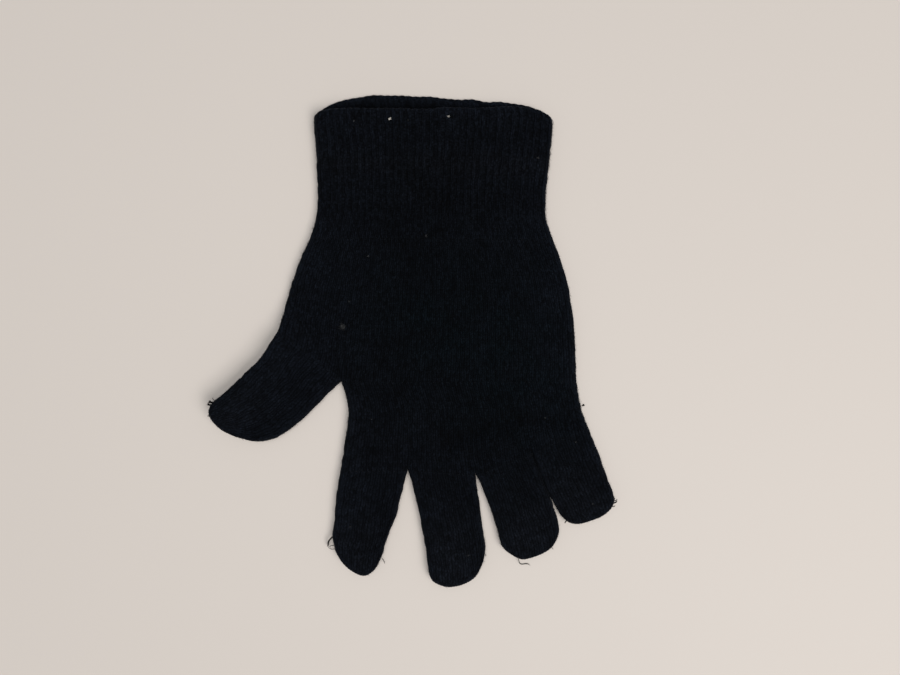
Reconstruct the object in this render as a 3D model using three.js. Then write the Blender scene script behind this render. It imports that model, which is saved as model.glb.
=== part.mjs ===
// A seamless knitted stretch glove that lies flat: cuff towards +Y, fingers towards -Y, thumb towards -X.
// It is knitted as eight tubes, each joined to the next by its stitches. Each tube is one closed solid
// here: a flattened tube of cloth, with an upper and a lower layer that turn into each other at the folds.
// Millimetres, +Z up. The lower layer rests on z = 0.

import * as THREE from 'three';
import { mergeVertices } from 'three/addons/utils/BufferGeometryUtils.js';

// The knitted cloth
const wall = 1.4; // one layer
const foldHeight = 4.4; // both layers, where they turn round at a fold
const flatHeight = 3.4; // both layers, away from the folds
const foldReach = 10; // how far from a fold the cloth settles to its flat height
const seamGap = 0.3; // between one tube's end stitches and the next one's

// The mouth of the cuff, whose upper layer stands up from the lower one and ends short of it
const mouthGape = 5.6;
const mouthReach = 30; // how far into the cuff the gape runs
const mouthLap = 6.5; // how far the lower layer reaches past the upper one
const mouthLean = 0.65; // under 1 puts the widest gape left of the middle

// The outer edge of the thumb curls up from the table
const thumbLift = 5;
const liftHinge = new THREE.Vector2(-41.7, -6.2); // a point where the thumb still rests on the table
const liftDirection = new THREE.Vector2(-0.77, 0.64); // from there towards the curled edge
const liftWidth = 16;
const liftStart = -15; // along the thumb, where the curl begins
const liftLength = 25; // and how far it takes to rise

// How finely each tube is divided
const foldTurn = [0, 45]; // degrees round a fold, from its edge
const stepLength = 6.5; // the longest step along a tube

// Where two tubes meet at the outline, and the crotches between fingers
const wristLeft = [-41.3, 41];
const wristRight = [55.8, 40.3];
const thumbTop = [-53.4, 4];
const thumbCrotch = [-28.8, -16.3];
const handRight = [65.1, -16.1];
const indexOuter = [-29.2, -51.8];
const indexCrotch = [-2.2, -51.5];
const middleCrotch = [24.8, -53.3];
const littleCrotch = [47.3, -44.8];
const littleOuter = [69.6, -34];
const mouthLeft = [-39.1, 90.2];
const mouthRight = [55, 89];

// Stitches (wales) across one layer of each tube, which share out the width where a tube splits
const thumbWales = 14;
const indexWales = 13;
const middleWales = 14;
const ringWales = 13;
const littleWales = 12;
const fingerWales = [indexWales, middleWales, ringWales, littleWales];
const fourWales = indexWales + middleWales + ringWales + littleWales;

const outlines = {
  cuffLeft: [mouthLeft, [-39.8, 87.5], [-38.8, 72], [-38.4, 53], wristLeft],
  cuffRight: [mouthRight, [55.9, 86], [54.7, 73], [53.3, 60], [53.2, 49], wristRight],
  mouth: [mouthLeft, [-36, 92.2], [-30, 94], [-20, 95], [-6, 95], [16, 94.6], [37, 94], [48, 92.8],
    mouthRight],
  handLeft: [wristLeft, [-45.1, 32.7], [-48.7, 22.6], [-50.8, 14.6], thumbTop],
  handRight: [wristRight, [58.9, 31.9], [61.8, 21.8], [63.6, 11], [64.7, -2.6], handRight],
  fourLeft: [thumbCrotch, [-26.6, -24], [-26.1, -29.3], [-27.4, -40.5], indexOuter],
  fourRight: [handRight, [66, -22], [67.6, -29], littleOuter],
  thumbLeft: [thumbTop, [-60, -6.8], [-64.8, -11.6], [-72, -18.6], [-77.2, -22.8], [-79.5, -25.2]],
  thumbTip: [[-79.5, -25.2], [-80.2, -28.6], [-78.6, -32.4], [-75.4, -35.9], [-71, -38.3]],
  thumbRight: [thumbCrotch, [-34, -21.2], [-40, -27.4], [-47.6, -34.3], [-54.6, -38.7], [-62, -40.3],
    [-71, -38.3]],
  indexLeft: [indexOuter, [-30.8, -62], [-31.6, -72.2], [-32.3, -77.2], [-31.4, -83.4]],
  indexTip: [[-31.4, -83.4], [-28.2, -88.5], [-24.1, -91.8], [-19.3, -93.5], [-15, -90.3], [-12.2, -85]],
  indexRight: [indexCrotch, [-4.8, -62], [-6.8, -69.6], [-10.4, -78.8], [-12.2, -85]],
  middleLeft: [indexCrotch, [0.6, -62], [2.9, -72.2], [5, -83.9], [6, -92.4]],
  middleTip: [[6, -92.4], [8, -95.6], [11.6, -97.6], [15, -98.2], [19.5, -96.8], [24.2, -93.4],
    [27.9, -88.4]],
  middleRight: [middleCrotch, [26.1, -62.4], [27.4, -72.2], [28.8, -82], [27.9, -88.4]],
  ringLeft: [middleCrotch, [28, -60.1], [31, -68.2], [33.6, -76.4], [35, -81.6]],
  ringTip: [[35, -81.6], [37, -84], [41, -86.6], [44.5, -87.4], [51, -85.4], [55.4, -82.4], [57.7, -78]],
  ringRight: [littleCrotch, [50.4, -51.6], [53, -58.2], [55, -63.4], [57.2, -69.8], [58.3, -75],
    [57.7, -78]],
  littleLeft: [littleCrotch, [50.9, -51.6], [53.5, -58], [55.6, -63.2], [58.8, -69.8]],
  littleTip: [[58.8, -69.8], [62, -72.6], [66, -73.3], [71, -72], [75.5, -70.1], [79, -67], [80.5, -63.2]],
  littleRight: [littleOuter, [71.3, -38.1], [75, -47.7], [78, -56], [80.5, -63.2]],
};

const colours = { cuff: 0x111519, hand: 0x10151a, finger: 0x13171c };

const smooth = (share) => THREE.MathUtils.smoothstep(share, 0, 1);

// A curve through points, read by its share of length from 0 to 1
function curve(points) {
  const spline = new THREE.SplineCurve(points.map(([x, y]) => new THREE.Vector2(x, y)));
  return (share) => spline.getPointAt(THREE.MathUtils.clamp(share, 0, 1));
}

// Each tube's end as a share of the wales in the wider tube that all of them run into
function endShares(wales) {
  const total = wales.reduce((sum, count) => sum + count, 0);
  const shares = [];
  for (const count of wales) {
    shares.push((shares.at(-1) ?? 0) + count / total);
  }
  return shares;
}

// A line of straight stretches, each of which takes its own count of wales
function joined(points, wales) {
  const ends = endShares(wales);
  return (share) => {
    const found = ends.findIndex((end) => share <= end);
    const index = found < 0 ? ends.length - 1 : found;
    const begin = index > 0 ? ends[index - 1] : 0;
    const from = new THREE.Vector2(...points[index]);
    const to = new THREE.Vector2(...points[index + 1]);
    return from.lerp(to, (share - begin) / (ends[index] - begin));
  };
}

// How high the table side of the cloth is above the table at a place in plan
function liftAt(place) {
  const fromHinge = place.clone().sub(liftHinge);
  const along = new THREE.Vector2(-liftDirection.y, liftDirection.x);
  const outwards = smooth(fromHinge.dot(liftDirection) / liftWidth);
  return thumbLift * outwards * smooth((fromHinge.dot(along) - liftStart) / liftLength);
}

// Both layers' height, from the distance to the nearest side fold
const heightAt = (distance) => THREE.MathUtils.lerp(foldHeight, flatHeight, smooth(distance / foldReach));

// How far round a fold of that radius a point is: 0 on the fold's edge and 1 on the flat
const roundAt = (distance, radius) => Math.sqrt(1 - (1 - Math.min(distance / radius, 1)) ** 2);

// Places from an edge of the tube inwards: round the fold, then on evenly, as distances
function foldSteps(radius) {
  return foldTurn.map((angle) => radius * (1 - Math.cos(THREE.MathUtils.degToRad(angle))));
}

class Tube {
  // start and end run across the tube, left and right along it. A closed tube's layers meet along its
  // end, and one with a mouth has its upper layer raised at its start. corners are the shares across
  // at which its end turns, and columns is how many steps there are between two of them.
  constructor({ start, end, left, right, closed = false, mouth = false, corners = [], columns }) {
    Object.assign(this, { start, end, left, right, closed, mouth, corners, columns });
    this.rows = Math.ceil(this.lengthAt(0.5) / stepLength);
  }

  // A place in plan, from four boundary curves blended across and along (a Coons patch)
  plan(across, along) {
    const place = this.start(across).multiplyScalar(1 - along);
    place.addScaledVector(this.end(across), along);
    place.addScaledVector(this.left(along), 1 - across);
    place.addScaledVector(this.right(along), across);
    place.addScaledVector(this.start(0), -(1 - across) * (1 - along));
    place.addScaledVector(this.start(1), -across * (1 - along));
    place.addScaledVector(this.end(0), -(1 - across) * along);
    place.addScaledVector(this.end(1), -across * along);
    return place;
  }

  widthAt(along) {
    return this.left(along).distanceTo(this.right(along));
  }

  lengthAt(across) {
    return this.start(across).distanceTo(this.end(across));
  }

  // How much of the mouth's gape and lap is left at a place: 1 at its widest
  mouthAt(across, along) {
    const inwards = 1 - smooth((along * this.lengthAt(across)) / mouthReach);
    return this.mouth ? inwards * Math.sin(Math.PI * across ** mouthLean) : 0;
  }

  // A point of the cloth's outer or inner side. across and along are shares of that side's own size.
  point(across, along, upper, inner) {
    const inset = inner ? wall : 0;
    const sideInset = (inset + seamGap / 2) / this.widthAt(along);
    const fullAcross = THREE.MathUtils.lerp(sideInset, 1 - sideInset, across);
    const length = this.lengthAt(fullAcross);
    const startInset = this.mouth ? 0 : seamGap / 2 / length;
    const endInset = (this.closed ? inset : seamGap / 2) / length;
    const fullAlong = THREE.MathUtils.lerp(startInset, 1 - endInset, along);
    const place = this.plan(fullAcross, fullAlong);
    const mouth = this.mouthAt(across, along);
    place.y += (upper ? -0.5 : 0.5) * mouthLap * mouth;

    const sideDistance = Math.min(across, 1 - across) * (1 - 2 * sideInset) * this.widthAt(along);
    const endDistance = this.closed ? (1 - along) * (length - inset) : Infinity;
    const radius = foldHeight / 2 - inset;
    const round = roundAt(sideDistance, radius) * roundAt(endDistance, radius);
    const upperRise = heightAt(sideDistance) + mouthGape * mouth - foldHeight + radius;
    const middle = liftAt(place) + foldHeight / 2;
    return new THREE.Vector3(place.x, place.y, middle + (upper ? upperRise : -radius) * round);
  }

  acrossShares(along, inner) {
    const inset = (inner ? wall : 0) + seamGap / 2;
    const fullWidth = this.widthAt(along);
    const width = fullWidth - 2 * inset;
    const radius = foldHeight / 2 - (inner ? wall : 0);
    const fold = foldSteps(radius).map((distance) => distance / width);
    const corners = this.corners.map((share) => (share * fullWidth - inset) / width);
    const stops = [radius / width, ...corners, 1 - radius / width];
    const shares = [...fold, stops[0]];
    for (let stop = 1; stop < stops.length; stop += 1) {
      for (let column = 1; column <= this.columns; column += 1) {
        shares.push(THREE.MathUtils.lerp(stops[stop - 1], stops[stop], column / this.columns));
      }
    }
    return [...shares, ...fold.map((share) => 1 - share).reverse()];
  }

  alongShares(inner) {
    const inset = inner ? wall : 0;
    const radius = foldHeight / 2 - inset;
    const length = this.lengthAt(0.5) - inset;
    const flatEnd = this.closed ? 1 - radius / length : 1;
    const shares = [];
    for (let row = 0; row <= this.rows; row += 1) {
      shares.push((row / this.rows) * flatEnd);
    }
    const fold = foldSteps(radius).map((distance) => 1 - distance / length);
    return this.closed ? [...shares, ...fold.reverse()] : shares;
  }

  // One layer's grid of points, a row for each step along the tube
  grid(upper, inner) {
    return this.alongShares(inner).map((along) =>
      this.acrossShares(along, inner).map((across) => this.point(across, along, upper, inner)));
  }

  geometry() {
    const triangles = [];
    const face = (a, b, c, d) => triangles.push(a, b, c, a, c, d);
    const skin = (grid, flipped) => {
      for (let row = 0; row + 1 < grid.length; row += 1) {
        for (let column = 0; column + 1 < grid[row].length; column += 1) {
          const corners = [grid[row][column], grid[row + 1][column], grid[row + 1][column + 1],
            grid[row][column + 1]];
          face(...(flipped ? corners.reverse() : corners));
        }
      }
    };
    const rim = (outer, inner, flipped) => {
      for (let column = 0; column + 1 < outer.length; column += 1) {
        const corners = [outer[column], outer[column + 1], inner[column + 1], inner[column]];
        face(...(flipped ? corners.reverse() : corners));
      }
    };
    for (const upper of [true, false]) {
      const outer = this.grid(upper, false);
      const inner = this.grid(upper, true);
      skin(outer, !upper);
      skin(inner, upper);
      rim(outer[0], inner[0], !upper);
      if (!this.closed) {
        rim(outer.at(-1), inner.at(-1), upper);
      }
    }
    return solidFrom(triangles);
  }
}

// A closed body from triangles' corners, without the triangles that have no area
function solidFrom(corners) {
  const soup = new THREE.BufferGeometry().setFromPoints(corners);
  const merged = mergeVertices(soup, 1e-3);
  const index = merged.getIndex().array;
  const kept = [];
  for (let at = 0; at < index.length; at += 3) {
    const [a, b, c] = index.slice(at, at + 3);
    if (a !== b && b !== c && c !== a) {
      kept.push(a, b, c);
    }
  }
  merged.setIndex(kept);
  merged.computeVertexNormals();
  return merged;
}

const wrist = joined([wristLeft, wristRight], [thumbWales + fourWales]);
const fourStart = joined([thumbCrotch, handRight], [fourWales]);
const handEnd = joined([thumbTop, thumbCrotch, handRight], [thumbWales, fourWales]);
const fingerRoots = joined([indexOuter, indexCrotch, middleCrotch, littleCrotch, littleOuter], fingerWales);

function finger(name, left, right, wales) {
  return {
    colour: colours.finger,
    start: joined([left, right], [wales]),
    end: curve(outlines[`${name}Tip`]),
    left: curve(outlines[`${name}Left`]),
    right: curve(outlines[`${name}Right`]),
    closed: true,
    columns: 4,
  };
}

const tubes = {
  cuff: {
    colour: colours.cuff,
    start: curve(outlines.mouth),
    end: wrist,
    left: curve(outlines.cuffLeft),
    right: curve(outlines.cuffRight),
    mouth: true,
    columns: 8,
  },
  hand_five: {
    colour: colours.hand,
    start: wrist,
    end: handEnd,
    left: curve(outlines.handLeft),
    right: curve(outlines.handRight),
    corners: endShares([thumbWales, fourWales]).slice(0, -1),
    columns: 4,
  },
  hand_four: {
    colour: colours.hand,
    start: fourStart,
    end: fingerRoots,
    left: curve(outlines.fourLeft),
    right: curve(outlines.fourRight),
    corners: endShares(fingerWales).slice(0, -1),
    columns: 3,
  },
  thumb: finger('thumb', thumbTop, thumbCrotch, thumbWales),
  index_finger: finger('index', indexOuter, indexCrotch, indexWales),
  middle_finger: finger('middle', indexCrotch, middleCrotch, middleWales),
  ring_finger: finger('ring', middleCrotch, littleCrotch, ringWales),
  little_finger: finger('little', littleCrotch, littleOuter, littleWales),
};

const glove = new THREE.Group();
for (const [name, { colour, ...shape }] of Object.entries(tubes)) {
  const material = new THREE.MeshStandardMaterial({ color: colour, roughness: 0.95, metalness: 0 });
  const mesh = new THREE.Mesh(new Tube(shape).geometry(), material);
  mesh.name = name;
  glove.add(mesh);
}

export default glove;
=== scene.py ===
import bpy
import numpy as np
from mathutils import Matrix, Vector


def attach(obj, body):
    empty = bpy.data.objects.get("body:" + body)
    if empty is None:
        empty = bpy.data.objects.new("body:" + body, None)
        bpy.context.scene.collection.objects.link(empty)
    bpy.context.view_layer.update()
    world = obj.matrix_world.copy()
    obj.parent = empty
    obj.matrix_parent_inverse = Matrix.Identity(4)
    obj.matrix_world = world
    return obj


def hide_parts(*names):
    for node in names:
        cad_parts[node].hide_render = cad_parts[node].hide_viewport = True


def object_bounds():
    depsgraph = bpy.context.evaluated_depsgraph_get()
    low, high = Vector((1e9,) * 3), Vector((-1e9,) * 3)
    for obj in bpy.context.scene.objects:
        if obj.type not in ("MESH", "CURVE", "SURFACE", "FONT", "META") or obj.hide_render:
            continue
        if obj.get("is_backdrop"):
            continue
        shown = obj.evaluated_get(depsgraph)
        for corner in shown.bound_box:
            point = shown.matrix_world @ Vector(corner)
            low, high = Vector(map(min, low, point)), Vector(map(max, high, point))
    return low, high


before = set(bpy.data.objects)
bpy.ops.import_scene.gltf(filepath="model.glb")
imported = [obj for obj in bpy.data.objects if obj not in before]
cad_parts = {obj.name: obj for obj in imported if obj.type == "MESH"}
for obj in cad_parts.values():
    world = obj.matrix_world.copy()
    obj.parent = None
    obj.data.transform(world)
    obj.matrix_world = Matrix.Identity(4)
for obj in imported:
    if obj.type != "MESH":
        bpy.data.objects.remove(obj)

# A black seamless knitted stretch glove that lies flat, seen from straight above. Each knitted tube of the
# glove is one closed shell of cloth on its solid's form. The shell's rows follow the courses and its columns
# the wales, so that every stitch is modelled. Loose yarn, fuzz and lint are small joined meshes. The glove's
# places and sizes are in millimetres, which MM turns into the frame's metres. The lights' and the floor's are
# in metres.

cad_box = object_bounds()
rng = np.random.default_rng(7)

MM = 0.001

# The cloth, as the solids have it
WALL = 1.4
FOLD_HEIGHT = 4.4
FLAT_HEIGHT = 3.4
FOLD_REACH = 10.0
FOLD_WALES = 4  # how many wales next to a fold take up the cloth that goes round it
CROTCH_REACH = 8.0  # how far from a crotch that cloth is fully taken up
CROTCH_GAP = 0.02  # the least distance from a crotch that counts, so that the layers stay apart there
UNDULATION = 0.12  # how far the upper layer rises and falls at random
UNDULATION_SPAN = 14.0  # and over what distance

# The cuff's mouth
MOUTH_GAPE = 5.6
MOUTH_REACH = 30.0
MOUTH_LEAN = 0.65
UPPER_EDGE = -3.9  # how far past the mouth's outline the upper layer ends
LOWER_EDGE = 3.25  # and the lower one
SCALLOP = 0.1  # how far each rib's end stands out
EDGE_WAVE = 0.35  # how far the edge waves
EDGE_WAVE_SPAN = 4  # and over how many wales
EDGE_FADE = 2.0  # how far in from the edge its scallops and waves die away
EDGE_CORNER = 4.0  # how far from a fold they have their full size
MOUTH_SHADE = 5.0  # how far in its inner side darkens with painted shade
RIM_ROWS = np.array([0, 0.12, 0.35, 0.7])  # how far in the edge's first rows of points lie
RIM_START = 0.08  # how far round its rounded edge the first row lies, so that the rim has some width
FINE_INNER_ROWS = 16  # how many rows of its inner side lie closer together than the rest

# The thumb's curled edge
THUMB_LIFT = 5.0
LIFT_HINGE = np.array([-41.7, -6.2])
LIFT_DIRECTION = np.array([-0.77, 0.64])
LIFT_WIDTH = 16.0
LIFT_START = -15.0
LIFT_LENGTH = 25.0

# The knitting
THUMB_WALES = 14
FINGER_WALES = [13, 14, 13, 12]  # index, middle, ring and little
FOUR_WALES = sum(FINGER_WALES)
COURSE = 1.45
COLUMNS_A_WALE = 6
ROWS_A_COURSE = 3
INNER_COLUMNS_A_WALE = 2
JERSEY_RELIEF = 0.5
LEG_FULLNESS = 0.7  # the power that shapes a stitch's legs: less than 1 makes them broader
BETWEEN_LEGS = 0.22  # how high the yarn between the legs stands, as a share of the relief
PURL_DEPTH = 0.62  # how deep a rib's purl wales lie, as a share of the relief
PURL_BUMP = 0.5  # how far their bumps stand up again, as a share of the relief
FOLD_RELIEF = 0.55  # the share of the relief that is left at a fold
END_RELIEF = 0.25  # and at the mouth and the tips
END_COURSES = 3  # how many courses at a tube's end settle into its seam's even line
SIDE_STITCHES = 2  # how many stitches next to a fold, the mouth or a tip flatten or settle there
INNER_RIB = 0.12  # how far the ribs show on the inner side
INNER_BUMP = 0.08  # and its stitches
RIB_DEPTH = 0.2
RIB_FADE = 16.0  # how far before the wrist the ribs flatten into the palm's jersey
CHEVRON = 1.1  # how far a stitch's legs climb from the wale's middle to its edge
UNEVEN = 0.12  # how much taller or lower one stitch is than the next
LUMPS = 0.2  # how far the cloth's face swells and sinks from stitch to stitch, and its outline with it
LUMP_SPAN = (1.3, 1.7)  # and over how many wales and courses
WOBBLE = 0.25  # how far the wales and courses stray from their even places
WALE_SPAN = (1.7, 3.1)  # over how many wales and courses the wales stray
COURSE_SPAN = (3.3, 1.9)  # and the courses
SEAM_LAP = 0.14  # how far each tube runs past its seams, so that no gap shows there

# The strands of fuzz, yarn and lint: how many points each has along it, and how thick and where they are
STRAND_TIP = 0.35  # a strand's radius at its ends, as a share of its full radius
STRAND_TAPER = 2.6  # how fast that share grows inwards, over the whole strand's length
STRAND_LOWEST = 0.02  # how far above the floor every strand stays
FUZZ_STEPS = 6
FUZZ_PIECE = (0.18, 0.5)  # the length between two of a fibre's points
FUZZ_TURN = 0.55  # how far it turns from point to point, in radians
FUZZ_ARCH = (0.05, 0.45)  # how high a lying fibre arches, from FUZZ_SUNK below the cloth's face
FUZZ_SUNK = 0.25
FUZZ_REACH = (0.3, 1.1)  # how high a standing one reaches, from FUZZ_ROOT below it
FUZZ_ROOT = 0.3
FUZZ_RADIUS = (0.014, 0.028)
FUZZ_DENSITY = 0.33  # how many fibres there are for each square millimetre in plan
FUZZ_AT_FOLDS = 0.45  # the share of them at the folds
FUZZ_AT_TIP = 0.15  # the share at a closed tip
FUZZ_STANDING = 0.3  # the share that stand up by one end
FUZZ_ON_TOP = 0.7  # the share on the upper layer
YARN_STEPS = 14
PLIES = 5
THIN_PLIES = 2
THICK_YARN = 0.12  # a loose end thicker than this has all its plies
PLY_TURNS = 1.3  # how often its plies turn round each other
PLY_LENGTH = (0.8, 1.0)  # the share of the path that each ply follows
PLY_SPREAD = 0.6  # how far the plies lie from the path, as a share of the yarn's radius
PLY_PARTING = (0.3, 2.0)  # how much further they part at the free end
PLY_RADIUS = 1.1  # over the square root of the count of plies: a ply's radius, as a share of the yarn's
LINT_STEPS = 6
LINT_PIECE = 0.32  # the length between two of a fibre's points, as a share of its tangle's radius
LINT_TURN = 0.8  # how far it turns from point to point, in radians
LINT_SCATTER = 0.35  # how far the fibres' middles stray, as a share of that radius
LINT_ARCH = (0.1, 0.5)  # how high they arch, as a share of it
LINT_SUNK = 0.1
LINT_RADIUS = (0.018, 0.034)

# Where the tubes meet at the outline, and the crotches between them
WRIST_LEFT = (-41.3, 41)
WRIST_RIGHT = (55.8, 40.3)
THUMB_TOP = (-53.4, 4)
THUMB_CROTCH = (-28.8, -16.3)
HAND_RIGHT = (65.1, -16.1)
INDEX_OUTER = (-29.2, -51.8)
INDEX_CROTCH = (-2.2, -51.5)
MIDDLE_CROTCH = (24.8, -53.3)
LITTLE_CROTCH = (47.3, -44.8)
LITTLE_OUTER = (69.6, -34)
MOUTH_LEFT = (-39.1, 90.2)
MOUTH_RIGHT = (55, 89)

# Soft shapes of each layer: a line, how far it stands up or sinks, and its half width
UPPER_SHAPES = [
    ([(13.9, -40.4), (26.6, -34.6), (38, -32), (50, -31), (63.3, -31.7)], -0.5, 3.2),
    ([(15, -47.4), (27.4, -41.6), (38.6, -39), (50, -38), (61, -38)], 0.5, 3.4),
    ([(-2.1, -43), (-2.2, -47)], -0.45, 4.0),
    ([(24.5, -45), (24.8, -48)], -0.4, 3.5),
    ([(46.6, -41), (45, -38)], -0.35, 3.5),
    ([(-30, -12), (-37, -5), (-45, 1)], -0.35, 5.0),
    ([(26, 35), (30, 31)], -0.4, 6.0),
    ([(5, 1), (7, -4)], -0.35, 5.0),
    ([(-36, 70.5), (0, 71.5), (30, 70.8), (52, 70)], 0.35, 3.0),
    ([(-20, 84), (5, 62), (10, 50)], 0.2, 9.0),
    ([(-2, 22), (24, 16), (50, 12)], 0.35, 8.0),
    ([(-16, -28), (2, -26), (16, -30)], 0.3, 6.0),
    ([(-60, -18), (-70, -27)], 0.25, 6.0),
    ([(10, -60), (17, -84)], 0.2, 6.0),
]
LOWER_SHAPES = [
    ([(-32, 60), (-8, 56), (20, 57), (48, 62)], 0.3, 4.0),
    ([(-44, 18), (-22, 12), (4, 15), (34, 22)], 0.3, 4.5),
    ([(-20, -38), (2, -36), (14, -30), (40, -20), (60, -18)], 0.3, 4.0),
    ([(-24, -60), (-16, -70)], 0.25, 4.0),
    ([(10, -62), (20, -72)], 0.25, 4.0),
    ([(38, -58), (48, -64)], 0.25, 4.0),
]

# Where the cloth is rubbed paler: a line, how much, and how far
WORN = [
    ([(-68, -27), (-74, -30)], 0.5, 12.0),
    ([(-21, -80), (-20, -88)], 0.7, 13.0),
    ([(16, -84), (18, -93)], 1.0, 14.0),
    ([(44, -75), (47, -82)], 0.9, 13.0),
    ([(66, -60), (71, -66)], 0.9, 13.0),
    ([(-36, 70.5), (52, 70)], 0.8, 4.5),
    ([(-30, -22), (-26, -40)], 0.4, 9.0),
    ([(62, 10), (66, -14)], 0.3, 9.0),
]
GREENISH = [([(8, 8), (38, 0), (40, -18)], 1.0, 26.0)]  # the palm's middle
# Where the cloth is darker: a line, how much, and how far. Along the crease and the slit it is painted shade
DARK_TONE_AND_PAINTED_SHADE = [
    ([(5, 40), (20, -20)], 1.0, 45.0),  # darker over the glove's middle
    ([(-60, -20), (-30, 0), (-14, -70), (65, -55)], 0.3, 25.0),  # less of it towards the tips
    ([(13.9, -40.4), (26.6, -34.6), (38, -32), (50, -31), (63.3, -31.7)], 0.4, 3.0),  # painted shade along the knuckles' crease
    ([(46.9, -43.4), (48.6, -48.6), (52.3, -57.5), (54.4, -62.5)], 0.9, 0.8),  # painted shade in the slit between ring and little
]

OUTLINES = {
    "cuff_left": [MOUTH_LEFT, (-39.8, 87.5), (-38.8, 72), (-38.4, 53), WRIST_LEFT],
    "cuff_right": [MOUTH_RIGHT, (55.9, 86), (54.7, 73), (53.3, 60), (53.2, 49), WRIST_RIGHT],
    "mouth": [MOUTH_LEFT, (-36, 92.2), (-30, 94), (-20, 95), (-6, 95), (16, 94.6), (37, 94), (48, 92.8),
              MOUTH_RIGHT],
    "hand_left": [WRIST_LEFT, (-45.1, 32.7), (-48.7, 22.6), (-50.8, 14.6), THUMB_TOP],
    "hand_right": [WRIST_RIGHT, (58.9, 31.9), (61.8, 21.8), (63.6, 11), (64.7, -2.6), HAND_RIGHT],
    "four_left": [THUMB_CROTCH, (-26.6, -24), (-26.1, -29.3), (-27.4, -40.5), INDEX_OUTER],
    "four_right": [HAND_RIGHT, (66, -22), (67.6, -29), LITTLE_OUTER],
    "thumb_left": [THUMB_TOP, (-60, -6.8), (-64.8, -11.6), (-72, -18.6), (-77.2, -22.8), (-79.5, -25.2)],
    "thumb_tip": [(-79.5, -25.2), (-80.2, -28.6), (-78.6, -32.4), (-75.4, -35.9), (-71, -38.3)],
    "thumb_right": [THUMB_CROTCH, (-34, -21.2), (-40, -27.4), (-47.6, -34.3), (-54.6, -38.7), (-62, -40.3),
                    (-71, -38.3)],
    "index_left": [INDEX_OUTER, (-30.8, -62), (-31.6, -72.2), (-32.3, -77.2), (-31.4, -83.4)],
    "index_tip": [(-31.4, -83.4), (-28.4, -88.7), (-24.4, -92.3), (-19.6, -94), (-15.2, -91.2), (-12.2, -85)],
    "index_right": [INDEX_CROTCH, (-4.8, -62), (-6.8, -69.6), (-10.4, -78.8), (-12.2, -85)],
    "middle_left": [INDEX_CROTCH, (0.6, -62), (2.9, -72.2), (5, -83.9), (6, -92.4)],
    "middle_tip": [(6, -92.4), (7.7, -96), (11.4, -98), (15, -98.5), (20, -97.4), (24.9, -94.3),
                   (27.9, -88.4)],
    "middle_right": [MIDDLE_CROTCH, (26.1, -62.4), (27.4, -72.2), (28.8, -82), (27.9, -88.4)],
    "ring_left": [MIDDLE_CROTCH, (28, -60.1), (31, -68.2), (33.6, -76.4), (35, -81.6)],
    "ring_tip": [(35, -81.6), (37, -84), (41, -86.6), (44.5, -87.4), (51, -85.4), (55.4, -82.4), (57.7, -78)],
    "ring_right": [LITTLE_CROTCH, (50.4, -51.6), (53, -58.2), (55, -63.4), (57.2, -69.8), (58.3, -75),
                   (57.7, -78)],
    "little_left": [LITTLE_CROTCH, (47.5, -47.5), (49.6, -51.9), (52.2, -58.4), (55.1, -63.4),
                    (58.8, -69.8)],
    "little_tip": [(58.8, -69.8), (62, -72.6), (66, -73.3), (71, -72), (75.5, -70.1), (79, -67),
                   (80.5, -63.2)],
    "little_right": [LITTLE_OUTER, (71.3, -38.1), (75, -47.7), (78, -56), (80.5, -63.2)],
}


# Linear colours of the yarn: its own, where it is rubbed, and what tints the greenish palm
YARN_COLOUR = (0.0032, 0.0044, 0.0071, 1)
RUBBED_COLOUR = (0.0043, 0.0054, 0.0079, 1)
GREENISH_TINT = (0.78, 1.08, 1.02, 1)

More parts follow.
